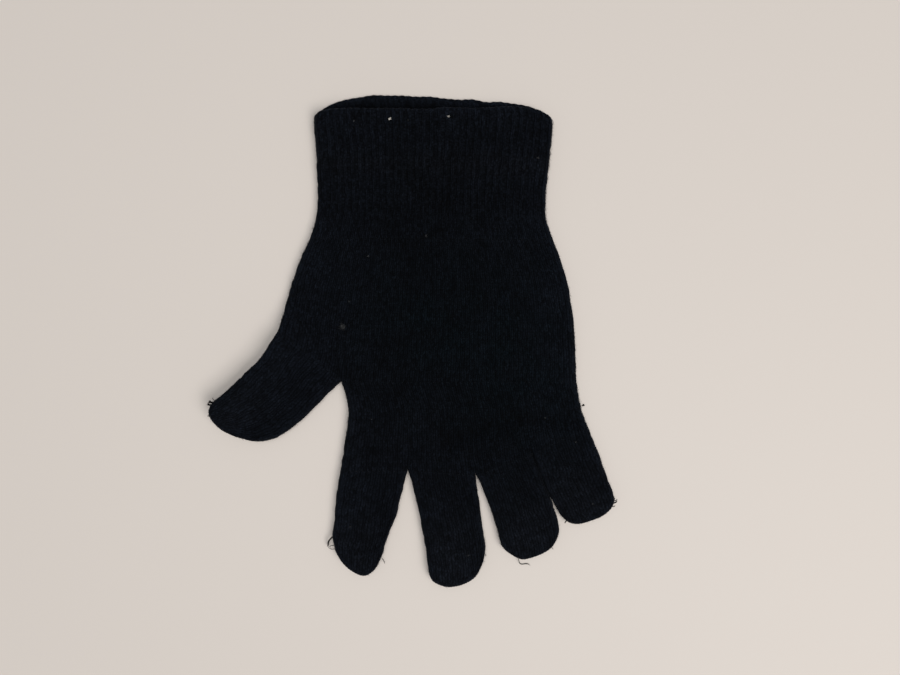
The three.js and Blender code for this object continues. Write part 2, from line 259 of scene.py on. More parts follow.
# Loose yarn: each end's radius and path
YARN_ENDS = {
    "index_finger": [
        (0.27, [(-30.9, -77.2, 2.6), (-32.8, -78.8, 2.6), (-34.0, -80.4, 2.0), (-34.3, -82.0, 1.4),
                (-34.2, -83.3, 0.8)]),
        (0.10, [(-34.2, -83.1, 0.9), (-33.2, -82.2, 1.3), (-31.2, -81.9, 1.8)]),
        (0.09, [(-34.1, -83.2, 0.8), (-32.9, -83.7, 0.9), (-31.0, -83.2, 1.6)]),
        (0.09, [(-12.9, -86.7, 2.2), (-12.0, -88.0, 1.4), (-11.5, -90.0, 0.4)]),
        (0.08, [(-19.5, -92.4, 2.0), (-18.6, -93.9, 1.1), (-17.4, -94.3, 0.6)]),
    ],
    "thumb": [
        (0.30, [(-78.9, -29.2, 5.2), (-80.2, -29.5, 5.2), (-81.3, -29.8, 4.9)]),
        (0.36, [(-78.6, -24.6, 6.0), (-79.9, -24.1, 6.4), (-80.8, -24.0, 6.2)]),
        (0.30, [(-78.9, -25.4, 6.0), (-80.2, -25.2, 6.6), (-81.0, -24.7, 6.9)]),
        (0.10, [(-77.9, -24.0, 6.2), (-78.7, -22.8, 6.9), (-78.4, -22.2, 7.3)]),
    ],
    "middle_finger": [
        (0.09, [(9.6, -95.6, 2.2), (8.9, -96.9, 1.4), (9.4, -97.6, 0.9)]),
        (0.09, [(28.0, -84.6, 2.4), (28.9, -85.6, 1.8), (28.8, -86.6, 1.3)]),
    ],
    "ring_finger": [
        (0.13, [(41.5, -85.7, 2.4), (42.1, -87.7, 1.6), (42.7, -89.5, 0.6), (43.7, -89.9, 0.4),
                (45.3, -89.7, 0.4), (46.4, -90.0, 0.5), (47.2, -90.7, 0.5)]),
        (0.12, [(54.4, -81.9, 2.4), (55.5, -82.9, 1.8), (55.9, -83.7, 1.4)]),
    ],
    "little_finger": [
        (0.19, [(61.7, -71.3, 2.4), (60.9, -72.4, 1.8), (60.4, -73.3, 1.3)]),
        (0.24, [(79.1, -64.9, 2.4), (80.6, -64.7, 2.2), (81.7, -64.0, 1.9)]),
        (0.12, [(79.6, -64.0, 2.6), (80.9, -63.6, 2.9), (81.5, -62.9, 2.6)]),
        (0.12, [(78.9, -66.0, 2.2), (80.1, -66.4, 1.8), (80.9, -66.1, 1.4)]),
    ],
    "hand_four": [
        (0.12, [(65.4, -25.3, 2.4), (66.7, -26.0, 2.4), (67.7, -26.0, 2.3)]),
        (0.30, [(67.4, -26.0, 2.3), (67.9, -25.7, 2.4), (68.4, -25.8, 2.3)]),
    ],
}

# Lint caught in the cloth: its place, its radius and its count of fibres
PALE_LINT = {
    "cuff": [((-9.0, 86.9), 0.5, 46), ((14.0, 88.0), 0.4, 26)],
}
GREY_LINT = {
    "cuff": [((-23.0, 86.2), 0.4, 8), ((5.0, 41.9), 0.5, 14), ((49.6, 72.6), 0.5, 14),
             ((-1.8, 86.4), 0.3, 6)],
    "hand_five": [((-28.1, 5.5), 1.4, 34), ((-18.0, 33.6), 0.45, 15), ((-25.5, 15.7), 0.35, 9)],
    "hand_four": [((-16.7, -31.2), 0.4, 10), ((52.6, -30.7), 0.4, 10)],
    "index_finger": [((-25.0, -74.1), 0.5, 9)],
    "middle_finger": [((21.8, -85.3), 0.5, 9)],
    "little_finger": [((71.4, -64.9), 0.4, 10), ((64.6, -40.2), 0.4, 8)],
}


# ---- Camera, lights and floor ----

def make_camera():
    """Looks straight down, with the cuff at the top of the picture."""
    data = bpy.data.cameras.new("camera")
    data.lens = 29
    data.sensor_width = 36
    camera = bpy.data.objects.new("camera", data)
    camera.location = (14.6 * MM, 1.3 * MM, 292 * MM)
    bpy.context.scene.collection.objects.link(camera)
    bpy.context.scene.camera = camera


def make_light(name, place, size, power, colour):
    """A square soft box that faces the glove, with its place and size in metres."""
    data = bpy.data.lights.new(name, "AREA")
    data.size = size
    data.energy = power
    data.color = colour
    light = bpy.data.objects.new(name, data)
    light.location = place
    light.rotation_euler = (-Vector(place)).to_track_quat("-Z", "Y").to_euler()
    bpy.context.scene.collection.objects.link(light)


def make_floor():
    material = bpy.data.materials.new("pale_floor")
    material.use_nodes = True
    shader = material.node_tree.nodes["Principled BSDF"]
    shader.inputs["Base Color"].default_value = (0.70, 0.645, 0.595, 1)
    shader.inputs["Roughness"].default_value = 0.6
    mesh = bpy.data.meshes.new("floor")
    reach = 8.0
    mesh.from_pydata([(-reach, -reach, 0), (reach, -reach, 0), (reach, reach, 0), (-reach, reach, 0)], [],
                     [(0, 1, 2, 3)])
    floor = bpy.data.objects.new("floor", mesh)
    floor.data.materials.append(material)
    bpy.context.scene.collection.objects.link(floor)
    floor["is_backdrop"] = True


def make_world():
    world = bpy.data.worlds.new("studio")
    world.use_nodes = True
    background = world.node_tree.nodes["Background"]
    background.inputs["Color"].default_value = (0.93, 0.96, 1.0, 1)
    background.inputs["Strength"].default_value = 0.27
    bpy.context.scene.world = world
    bpy.context.scene.view_settings.view_transform = "Standard"


# ---- Curves in plan ----

def smooth(share):
    share = np.clip(share, 0, 1)
    return share * share * (3 - 2 * share)


def spline(points, steps=40):
    """Points close together on a Catmull-Rom curve through the given ones."""
    points = np.array(points, float)
    padded = np.vstack([points[:1], points, points[-1:]])
    share = np.arange(steps)[:, None] / steps
    stretches = []
    for before, start, end, after in zip(padded, padded[1:], padded[2:], padded[3:]):
        leave = (end - before) / 2
        arrive = (after - start) / 2
        cubic = 2 * start - 2 * end + leave + arrive
        square = -3 * start + 3 * end - 2 * leave - arrive
        stretches.append(((cubic * share + square) * share + leave) * share + start)
    return np.vstack([*stretches, points[-1:]])


def curve(points):
    """A function from shares of the curve's length to places on it."""
    dense = spline(points)
    lengths = np.concatenate([[0], np.cumsum(np.linalg.norm(np.diff(dense, axis=0), axis=1))])
    lengths /= lengths[-1]
    return lambda share: np.stack([np.interp(share, lengths, line) for line in dense.T], -1)


def joined(points, wales):
    """Straight stretches end to end, each of which takes its own count of wales."""
    points = np.array(points, float)
    shares = np.concatenate([[0], np.cumsum(wales)]) / sum(wales)
    return lambda share: np.stack([np.interp(share, shares, line) for line in points.T], -1)


# ---- The form of a tube ----

def round_at(distance, radius):
    """How far round a fold a point is: 0 on its edge and 1 on the flat."""
    return np.sqrt(1 - (1 - np.clip(distance / radius, 0, 1)) ** 2)


def turn_of(radius):
    """How much longer the cloth is over one layer's quarter of a fold than that quarter is in plan."""
    return (np.pi / 2 - 1) * radius


def around_fold(arc, radius):
    """The distance in from a fold's edge of a place that far along the cloth, measured round the fold."""
    quarter = radius * np.pi / 2
    angle = np.clip(arc, 0, quarter) / radius
    return radius * (1 - np.cos(angle)) + np.maximum(arc - quarter, 0)


def lift_at(place):
    """How high the underside is above the table."""
    from_hinge = place - LIFT_HINGE
    along = np.array([-LIFT_DIRECTION[1], LIFT_DIRECTION[0]])
    outwards = smooth(from_hinge @ LIFT_DIRECTION / LIFT_WIDTH)
    return THUMB_LIFT * outwards * smooth((from_hinge @ along - LIFT_START) / LIFT_LENGTH)


def cloth_height(distance):
    """Both layers' height, from the distance to the nearest fold."""
    return FOLD_HEIGHT + (FLAT_HEIGHT - FOLD_HEIGHT) * smooth(distance / FOLD_REACH)


def distance_to_line(place, points):
    """The distance from places to a line through points."""
    points = np.array(points, float)
    best = np.full(place.shape[:-1], np.inf)
    for start, end in zip(points, points[1:]):
        run = end - start
        share = np.clip((place - start) @ run / (run @ run), 0, 1)
        best = np.minimum(best, np.linalg.norm(place - start - share[..., None] * run, axis=-1))
    return best


def soft_shapes(place, shapes):
    """The sum of soft ridges and troughs along lines."""
    total = 0.0
    for points, height, half_width in shapes:
        total = total + height * np.exp(-(distance_to_line(place, points) / half_width) ** 2)
    return total


def soft_noise(seed, x, y):
    """Smooth values from -1 to 1 that stray over a distance of about 1."""
    lattice = np.random.default_rng(seed).uniform(-1, 1, (61, 61))
    column, row = np.floor(x).astype(int), np.floor(y).astype(int)
    right, up = smooth(x - column), smooth(y - row)
    corner = lambda i, j: lattice[(row + j) % 61, (column + i) % 61]
    near = corner(0, 0) * (1 - right) + corner(1, 0) * right
    far = corner(0, 1) * (1 - right) + corner(1, 1) * right
    return near * (1 - up) + far * up


class Tube:
    """One knitted tube, flattened. Its cloth is read by shares across and along each layer.

    turned_start and turned_end say how many wales from the left change direction at a seam there. Their
    stitches' legs end level with the seam, so that the two tubes still meet."""

    def __init__(self, seed, start, end, left, right, wales, length, closed=False, mouth=False,
                 left_crotch=False, right_crotch=False, crotches=(), turned_start=0, turned_end=0):
        self.seed = seed
        self.start, self.end, self.left, self.right = start, end, left, right
        self.wales, self.length, self.courses = wales, length, round(length / COURSE)
        self.closed, self.mouth = closed, mouth
        self.left_crotch, self.right_crotch, self.crotches = left_crotch, right_crotch, crotches
        self.turned_start, self.turned_end = turned_start, turned_end

    def width_at(self, along):
        return np.linalg.norm(self.left(along) - self.right(along), axis=-1)

    def length_at(self, across):
        return np.linalg.norm(self.start(across) - self.end(across), axis=-1)

    def blend(self, across, along):
        """A place in plan, from the four boundary curves blended across and along."""
        u, v = across[..., None], along[..., None]
        start, end = self.start, self.end
        corners = (start(0) * (1 - u) + start(1) * u) * (1 - v) + (end(0) * (1 - u) + end(1) * u) * v
        ends = start(across) * (1 - v) + end(across) * v
        sides = self.left(along) * (1 - u) + self.right(along) * u
        return ends + sides - corners

    def plan(self, across, along):
        """A place in plan, carried straight on past either end."""
        inside = np.clip(along, 0, 1)
        step = 0.01
        before = self.blend(across, np.maximum(inside - step, 0))
        after = self.blend(across, np.minimum(inside + step, 1))
        return self.blend(across, inside) + (after - before) / step * (along - inside)[..., None]

    def from_fold(self, wales_in, pitch, radius, taken_up):
        """The distance in from a side fold of a place so many wales in."""
        arc = wales_in / FOLD_WALES * (FOLD_WALES * pitch + turn_of(radius))
        folded = np.where(wales_in < FOLD_WALES, around_fold(arc, radius), wales_in * pitch)
        return wales_in * pitch * (1 - taken_up) + folded * taken_up

    def point(self, across, along, upper, inner):
        """A point of the cloth's outer or inner side, in its upper or lower layer."""
        inset = WALL if inner else 0.0
        radius = FOLD_HEIGHT / 2 - inset
        length = self.length_at(across)
        if self.closed:
            arc = (1 - along) * (length - inset + turn_of(radius))
            end_distance = around_fold(arc, radius)
            full_along = 1 - (end_distance + inset) / length
        else:
            end_distance = np.full(np.shape(across), np.inf)
            full_along = along

        full_width = self.width_at(full_along)
        width = full_width - 2 * inset
        pitch = width / self.wales
        wale = across * self.wales
        from_crotch_line = smooth(along * length / CROTCH_REACH)
        left_taken_up = from_crotch_line if self.left_crotch else 1.0
        right_taken_up = from_crotch_line if self.right_crotch else 1.0
        from_left = self.from_fold(wale, pitch, radius, left_taken_up)
        from_right = self.from_fold(self.wales - wale, pitch, radius, right_taken_up)
        side_distance = np.minimum(from_left, from_right)
        left_distance = np.where(from_left < from_right, from_left, width - from_right)
        place = self.plan((left_distance + inset) / full_width, full_along)

        mouth = 0.0
        if self.mouth:
            mouth = 1 - smooth(along * length / MOUTH_REACH)
            mouth = mouth * np.sin(np.pi * np.clip(left_distance / width, 0, 1) ** MOUTH_LEAN)
            place[..., 1] += (UPPER_EDGE if upper else LOWER_EDGE) * mouth
            wave = SCALLOP * np.cos(np.pi * wale)
            wave = wave + EDGE_WAVE * soft_noise(5 if upper else 6, wale / EDGE_WAVE_SPAN, wale * 0)
            wave = wave * np.exp(-along * length / EDGE_FADE)
            place[..., 1] += wave * np.clip(side_distance / EDGE_CORNER, 0, 1)

        fold_distance = side_distance
        for crotch in self.crotches:
            from_crotch = np.linalg.norm(place - np.array(crotch), axis=-1) - inset
            fold_distance = np.minimum(fold_distance, np.maximum(from_crotch, CROTCH_GAP))
        turned = round_at(fold_distance, radius) * round_at(end_distance, radius)
        middle = lift_at(place) + FOLD_HEIGHT / 2
        if upper:
            rise = cloth_height(fold_distance) + MOUTH_GAPE * mouth - FOLD_HEIGHT + radius
            rise = rise + soft_shapes(place, UPPER_SHAPES)
            spans = place / UNDULATION_SPAN
            rise = rise + UNDULATION * soft_noise(11, spans[..., 0], spans[..., 1])
        else:
            rise = soft_shapes(place, LOWER_SHAPES) - radius
        return np.concatenate([place, (middle + rise * turned)[..., None]], -1)

    def outward(self, across, along, upper, inner):
        """The direction out of the glove, square to the smooth cloth."""
        step = 0.25
        sideways = step / self.wales
        forwards = step / self.courses
        ends = [self.point(np.clip(across + sideways * sign, 0, 1), along, upper, inner) for sign in (-1, 1)]
        rows = [self.point(across, np.minimum(along + forwards * sign, 1), upper, inner) for sign in (-1, 1)]
        normal = np.cross(rows[1] - rows[0], ends[1] - ends[0])
        normal /= np.maximum(np.linalg.norm(normal, axis=-1, keepdims=True), 1e-9)
        return normal if upper else -normal

    def ribbed(self, along):
        """How much of the cloth's form is rib: all of it in the cuff, down to none at the wrist."""
        if not self.mouth:
            return 0.0
        return smooth((1 - along) * self.length / RIB_FADE)

    def edge_rounding(self, along):
        """How far each side of the cloth draws in towards the other, at the mouth's rounded edge."""
        if not self.mouth:
            return 0.0
        return WALL / 2 * (1 - round_at(along * self.length + RIM_START, WALL / 2))

    def knitted(self, across, along):
        """Each place's depth below the stitches' crests, and the slant of its stitch."""
        wale, course = across * self.wales, along * self.courses
        within = wale % 1.0
        middle = 1 - np.abs(2 * within - 1)
        leg = np.abs(np.sin(2 * np.pi * within)) ** LEG_FULLNESS
        bead = np.sin(np.pi * (course % 1.0))
        # Each stitch's own number, made of its wale's and its course's, reads its own place in the noise
        number = np.floor(wale).astype(int) * 997 + np.floor(course).astype(int) * 131
        uneven = 1 + UNEVEN * soft_noise(self.seed, number * 0.731, number * 0.377)
        crest = leg * (0.5 + 0.5 * bead) + BETWEEN_LEGS * middle * (1 - leg)
        depth = 1 - np.clip(crest * uneven, 0, 1)
        slant = CHEVRON * (middle - 0.5)

        ribbed = self.ribbed(along)
        purl = (np.floor(wale) % 2) * ribbed
        bump = bead * np.sin(np.pi * within)
        depth = depth * (1 - purl) + (PURL_DEPTH - PURL_BUMP * bump) * purl
        slant = slant * (1 - purl) - CHEVRON / 2 * purl
        for turned, from_end in ((self.turned_start, course), (self.turned_end, self.courses - course)):
            slant = slant * np.where(wale <= turned, np.clip(from_end / END_COURSES, 0, 1), 1)
        rib = ribbed * RIB_DEPTH * (0.5 - 0.5 * np.sin(np.pi * wale))

        to_edge = np.full(np.shape(across), np.inf)
        if self.closed:
            to_edge = (1 - along) * self.courses
        if self.mouth:
            to_edge = along * self.courses
        near_edge = np.clip(to_edge / SIDE_STITCHES, END_RELIEF, 1)
        from_crotch = smooth(along * self.length / CROTCH_REACH)
        for wales_in, at_crotch in ((wale, self.left_crotch), (self.wales - wale, self.right_crotch)):
            least = FOLD_RELIEF * from_crotch if at_crotch else FOLD_RELIEF
            near_edge = near_edge * np.clip(wales_in / SIDE_STITCHES, least, 1)
        return JERSEY_RELIEF * depth * near_edge + rib, slant * np.clip(to_edge / SIDE_STITCHES, 0, 1)

    def skin(self, upper, inner, columns, rows):
        """A grid of points of one side of one layer, and how deep each lies in its stitch. On the inner side
        it is how far each lies in from the mouth instead, as a share of MOUTH_SHADE."""
        across, along = np.meshgrid(columns, rows)
        if inner:
            rib = 0.5 + 0.5 * np.sin(np.pi * across * self.wales)
            bump = np.sin(2 * np.pi * along * self.courses) * np.cos(2 * np.pi * across * self.wales)
            out = self.edge_rounding(along) - self.ribbed(along) * (INNER_RIB * rib + INNER_BUMP * bump)
            points = self.point(across, along, upper, True)
            points = points + self.outward(across, along, upper, True) * out[..., None]
            # The material paints shade on the mouth's inner side from this, darker further in
            return points, smooth(along * self.length / MOUTH_SHADE) if self.mouth else across * 0
        depth, slant = self.knitted(across, along)
        wale, course = across * self.wales, along * self.courses
        ends = np.clip(np.minimum(course, self.courses - course) / END_COURSES, 0, 1)
        free = ends * np.clip(np.minimum(wale, self.wales - wale) / SIDE_STITCHES, 0, 1)
        seed = self.seed if upper else self.seed + 100
        stray = WOBBLE * free * soft_noise(seed + 1, wale / WALE_SPAN[0], course / WALE_SPAN[1])
        moved_across = across + stray / self.wales
        stray = WOBBLE * free * soft_noise(seed + 2, wale / COURSE_SPAN[0], course / COURSE_SPAN[1])
        moved_along = along + slant / self.length_at(across) + stray / self.courses
        lap = SEAM_LAP / self.length_at(across)
        moved_along = moved_along - (0 if self.mouth else lap * (along == 0))
        moved_along = np.minimum(moved_along, 1) if self.closed else moved_along + lap * (along == 1)
        points = self.point(moved_across, moved_along, upper, False)
        lumps = LUMPS * ends * soft_noise(self.seed + 3, wale / LUMP_SPAN[0], course / LUMP_SPAN[1])
        inwards = (depth + lumps + self.edge_rounding(along))[..., None]
        return points - self.outward(moved_across, moved_along, upper, False) * inwards, depth / JERSEY_RELIEF


# ---- Meshes ----

def ring_grid(tube, inner, per_wale, rows):
    """Points all round a tube, in rows: over the upper layer from left to right, then back below. With them,
    each point's wale, its course and what skin() says of its depth, and how many points a row has."""
    shares = np.arange(tube.wales * per_wale + 1) / (tube.wales * per_wale)
    upper, upper_depth = tube.skin(True, inner, shares, rows)
    lower, lower_depth = tube.skin(False, inner, shares, rows)
    upper[:, [0, -1]] = (upper[:, [0, -1]] + lower[:, [0, -1]]) / 2
    if tube.closed:
        upper[-1] = (upper[-1] + lower[-1]) / 2
        lower[-1] = upper[-1]
    across, along = np.meshgrid(shares, rows)
    marks = np.stack([across * tube.wales, along * tube.courses], -1)
    back = slice(-2, 0, -1)
    points = np.concatenate([upper, lower[:, back]], 1)
    stitch = np.concatenate([np.dstack([marks, upper_depth]), np.dstack([marks, lower_depth])[:, back]], 1)
    around = points.shape[1]
    unused = around // 2 - 1 if tube.closed else 0
    count = points.shape[0] * around - unused
    return points.reshape(-1, 3)[:count], stitch.reshape(-1, 3)[:count], around


def ring_faces(row_count, around, first, closed):
    """Quads between the rows of a ring grid. A closed tube's last row is one line that both layers share."""
    row = np.arange(row_count - 1)[:, None] * around
    here = np.arange(around)[None, :]
    after = (here + 1) % around
    a, b, c, d = row + here, row + around + here, row + around + after, row + after
    if closed:
        last = (row_count - 1) * around
        b, c = (np.where(at > last + around // 2, 2 * last + around - at, at) for at in (b, c))
    return np.stack([a, b, c, d], -1).reshape(-1, 4) + first


def rim_faces(outer_first, outer_around, inner_first, inner_around):
    """Faces that join the outer side's end row to the inner side's, which has fewer points."""
    ratio = outer_around // inner_around
    faces = []
    for number in range(inner_around):
        here = inner_first + number
        after = inner_first + (number + 1) % inner_around
        fan = [outer_first + (number * ratio + step) % outer_around for step in range(ratio + 1)]
        middle = ratio // 2
        faces += [(fan[step], fan[step + 1], here) for step in range(middle)]
        faces.append((fan[middle], after, here))
        faces += [(fan[step], fan[step + 1], after) for step in range(middle, ratio)]
    return faces


def mesh_piece(name, points, faces, material, flat_faces=0):
    """A new object. Its last faces, as many as flat_faces, aren't shaded smooth."""
    mesh = bpy.data.meshes.new(name)
    mesh.from_pydata((points * MM).tolist(), [], faces)
    mesh.materials.append(material)
    is_smooth = np.ones(len(mesh.polygons), bool)
    is_smooth[len(is_smooth) - flat_faces:] = False
    mesh.polygons.foreach_set("use_smooth", is_smooth)
    mesh.update()
    piece = bpy.data.objects.new(name, mesh)
    bpy.context.scene.collection.objects.link(piece)
    return piece


def set_attribute(mesh, name, values):
    """Three numbers for each vertex, for the material to read."""
    attribute = mesh.attributes.new(name, "FLOAT_VECTOR", "POINT")
    attribute.data.foreach_set("vector", values.astype(np.float32).ravel())


def knit(name, tube, material):
    """One tube's shell: the outer side with every stitch, the smooth inner side, and the rims between."""
    outer_rows = np.arange(tube.courses * ROWS_A_COURSE + 1) / (tube.courses * ROWS_A_COURSE)
    inner_rows = np.arange(tube.courses // 2 + 1) / (tube.courses // 2)
    if tube.mouth:
        rim = RIM_ROWS / tube.length
        fine = (np.arange(FINE_INNER_ROWS) + 1.5) / (2 * tube.courses)
        # The even rows start clear of the closer ones
        outer_rows = np.concatenate([rim, outer_rows[outer_rows > rim[-1] * 1.3]])
        inner_rows = np.concatenate([rim, fine, inner_rows[inner_rows > fine[-1] * 1.05]])
    outer, outer_stitch, outer_around = ring_grid(tube, False, COLUMNS_A_WALE, outer_rows)
    inner, inner_stitch, inner_around = ring_grid(tube, True, INNER_COLUMNS_A_WALE, inner_rows)
    points = np.vstack([outer, inner])
    points[:, 2] = np.maximum(points[:, 2], 0)
    stitch = np.vstack([outer_stitch, inner_stitch])

    sides = ring_faces(len(outer_rows), outer_around, 0, tube.closed).tolist()
    sides += ring_faces(len(inner_rows), inner_around, len(outer), tube.closed)[:, ::-1].tolist()
    rims = rim_faces(0, outer_around, len(outer), inner_around)
    if not tube.closed:
        outer_last = len(outer) - outer_around
        inner_last = len(points) - inner_around
        rims += [face[::-1] for face in rim_faces(outer_last, outer_around, inner_last, inner_around)]
    piece = mesh_piece(name, points, sides + rims, material, 0 if tube.mouth else len(rims))
    # Each point's wale, course and depth, from which the material paints shade into the grooves and into the
    # mouth
    set_attribute(piece.data, "stitch", stitch)
    place = points[:, :2]
    worn = np.clip(soft_shapes(place, WORN), 0, 1)
    greenish = np.clip(soft_shapes(place, GREENISH), 0, 1)
    # Rubbed wear, the greenish tint, and darker tone with painted shade along the knuckles' crease and
    # between ring and little
    set_attribute(piece.data, "wear_tint_and_painted_shade", np.stack([worn, greenish, soft_shapes(place, DARK_TONE_AND_PAINTED_SHADE)], -1))
    return piece


# ---- Loose fibres and yarn ----

def strands(name, paths, radii, material, sides):
    """Thin closed tubes along paths, all with the same count of points, tapered at both ends."""
    paths = np.array(paths, float)
    count, steps = paths.shape[:2]
    tangent = np.gradient(paths, axis=1)
    tangent /= np.maximum(np.linalg.norm(tangent, axis=-1, keepdims=True), 1e-9)
    nearly_up = np.array([0.03, 0.05, 1.0])  # so that no strand runs along it
    side = np.cross(tangent, nearly_up)
    side /= np.maximum(np.linalg.norm(side, axis=-1, keepdims=True), 1e-9)
    up = np.cross(side, tangent)
    from_end = np.minimum(np.arange(steps), np.arange(steps)[::-1]) / steps
    taper = np.minimum(1, STRAND_TIP + STRAND_TAPER * from_end)
    radius = np.reshape(radii, (-1, 1, 1, 1)) * taper[None, :, None, None]
    angle = 2 * np.pi * np.arange(sides) / sides
    turn = side[:, :, None] * np.cos(angle)[:, None] + up[:, :, None] * np.sin(angle)[:, None]
    points = paths[:, :, None] + turn * radius
    points[..., 2] = np.maximum(points[..., 2], STRAND_LOWEST)

    a_strand = steps * sides
    first = (np.arange(count) * a_strand)[:, None, None]
    ring = (np.arange(steps - 1) * sides)[None, :, None]
    here = np.arange(sides)[None, None, :]
    after = (here + 1) % sides
    a, b = first + ring + here, first + ring + after
    faces = np.stack([a, a + sides, b + sides, b], -1).reshape(-1, 4).tolist()
    for start in range(0, count * a_strand, a_strand):
        last = start + a_strand
        faces.append(tuple(range(start, start + sides)))
        faces.append(tuple(range(last - 1, last - sides - 1, -1)))
    return mesh_piece(name, points.reshape(-1, 3), faces, material)


def fuzz(name, tube, count, material):
    """Short curly fibres that lie on the cloth, rise a little from it, and stand out round its edges."""
    draw = lambda low, high: rng.uniform(low, high, (count, 1))
    across, along = draw(0, 1), draw(0, 1)
    at_fold = rng.random((count, 1)) < FUZZ_AT_FOLDS
    across = np.where(at_fold, np.round(across) + draw(-0.04, 0.04), across)
    if tube.closed:
        at_tip = rng.random((count, 1)) < FUZZ_AT_TIP
        along = np.where(at_tip, 1 - draw(0, 0.05), along)
    heading = draw(0, 2 * np.pi) + np.cumsum(rng.normal(0, FUZZ_TURN, (count, FUZZ_STEPS)), 1)
    step = draw(*FUZZ_PIECE)
    across = across + np.cumsum(np.cos(heading) * step, 1) / tube.width_at(along)
    along = along + np.cumsum(np.sin(heading) * step, 1) / tube.length_at(across)
    across, along = np.clip(across, 0, 1), np.clip(along, 0, 1)
    rise = np.linspace(0, 1, FUZZ_STEPS)[None, :]
    arched = draw(*FUZZ_ARCH) * np.sin(np.pi * rise) - FUZZ_SUNK
    standing = draw(*FUZZ_REACH) * rise ** 1.5 - FUZZ_ROOT
    height = np.where(rng.random((count, 1)) < FUZZ_STANDING, standing, arched)
    paths = np.empty((count, FUZZ_STEPS, 3))
    is_upper = rng.random(count) < FUZZ_ON_TOP
    for upper in (True, False):
        chosen = is_upper == upper
        place = across[chosen], along[chosen], upper, False
        paths[chosen] = tube.point(*place) + tube.outward(*place) * height[chosen][..., None]
    return strands(name, paths, rng.uniform(*FUZZ_RADIUS, count), material, sides=3)


def yarn_ends(name, ends, material):
    """Loose bits of yarn. Each is a few twisted plies round its path, which part at its free end."""
    paths, radii = [], []
    for radius, line in ends:
        plies = PLIES if radius > THICK_YARN else THIN_PLIES
        middle = curve(line)
        run = np.array(line[-1]) - np.array(line[0])
        across = np.array([-run[1], run[0], 0]) / np.hypot(run[0], run[1])
        for ply in range(plies):
            share = np.linspace(0, rng.uniform(*PLY_LENGTH), YARN_STEPS)
            turn = 2 * np.pi * (ply / plies + PLY_TURNS * share) + rng.uniform(0, 0.6)
            spread = radius * (PLY_SPREAD + rng.uniform(*PLY_PARTING) * share ** 3)
            path = middle(share) + across * (spread * np.cos(turn))[:, None]
            path[:, 2] += spread * np.sin(turn)
            paths.append(path)
            radii.append(radius * PLY_RADIUS / np.sqrt(plies))
    return strands(name, paths, radii, material, sides=5)


def height_at(tube, place):
    """The height of the cloth's top at a place in plan."""
    shares = np.linspace(0, 1, 90)
    cloth = tube.point(*np.meshgrid(shares, shares), True, False).reshape(-1, 3)
    return cloth[np.argmin(np.linalg.norm(cloth[:, :2] - np.array(place), axis=1)), 2]


def lint(name, tube, specks, material):
    """Small tangles of fibre caught in the cloth, each with its place, radius and count of fibres."""
    paths, radii = [], []
    for place, radius, count in specks:
        height = height_at(tube, place)
        for _ in range(count):
            start = rng.normal(0, LINT_SCATTER * radius, 2)
            heading = rng.uniform(0, 2 * np.pi) + np.cumsum(rng.normal(0, LINT_TURN, LINT_STEPS))
            steps = np.stack([np.cos(heading), np.sin(heading)], 1) * radius * LINT_PIECE
            flat = np.array(place) + start + np.cumsum(steps, 0) - steps.sum(0) / 2
            arch = rng.uniform(*LINT_ARCH) * radius * np.sin(np.linspace(0, np.pi, LINT_STEPS))
            paths.append(np.column_stack([flat, height - LINT_SUNK + arch]))
            radii.append(rng.uniform(*LINT_RADIUS))
    return strands(name, paths, radii, material, sides=4)


# ---- Materials ----

def node(tree, kind, inputs=(), **settings):
    """A new shader node. inputs gives its sockets values, or the outputs that feed them."""
    made = tree.nodes.new("ShaderNode" + kind)
    for name, value in settings.items():
        setattr(made, name, value)
    for name, value in dict(inputs).items():
        if isinstance(value, bpy.types.NodeSocket):
            tree.links.new(value, made.inputs[name])
        else:
            made.inputs[name].default_value = value
    return made


def mixed(tree, share, first, second, kind="MIX"):
    """The colour between two others."""
    made = tree.nodes.new("ShaderNodeMix")
    made.data_type = "RGBA"
    made.blend_type = kind
    for index, value in ((0, share), (6, first), (7, second)):
        if isinstance(value, bpy.types.NodeSocket):
            tree.links.new(value, made.inputs[index])
        else:
            made.inputs[index].default_value = value
    return made.outputs[2]


def math(tree, operation, first, second=0.0):
    return node(tree, "Math", {0: first, 1: second}, operation=operation).outputs[0]


def remapped(tree, value, low, high, to_low, to_high):
    inputs = {"Value": value, "From Min": low, "From Max": high, "To Min": to_low, "To Max": to_high}
    return node(tree, "MapRange", inputs).outputs["Result"]


def noise(tree, place, scale, detail=2.0, roughness=0.5):
    inputs = {"Vector": place, "Scale": scale, "Detail": detail, "Roughness": roughness}
    return node(tree, "TexNoise", inputs).outputs["Fac"]


def new_material(name):
    """A material with a matt shader, its tree and that shader."""
    material = bpy.data.materials.new(name)
    material.use_nodes = True
    tree = material.node_tree
    shader = tree.nodes["Principled BSDF"]
    shader.inputs["Roughness"].default_value = 0.9
    shader.inputs["Specular IOR Level"].default_value = 0.05
    return material, tree, shader


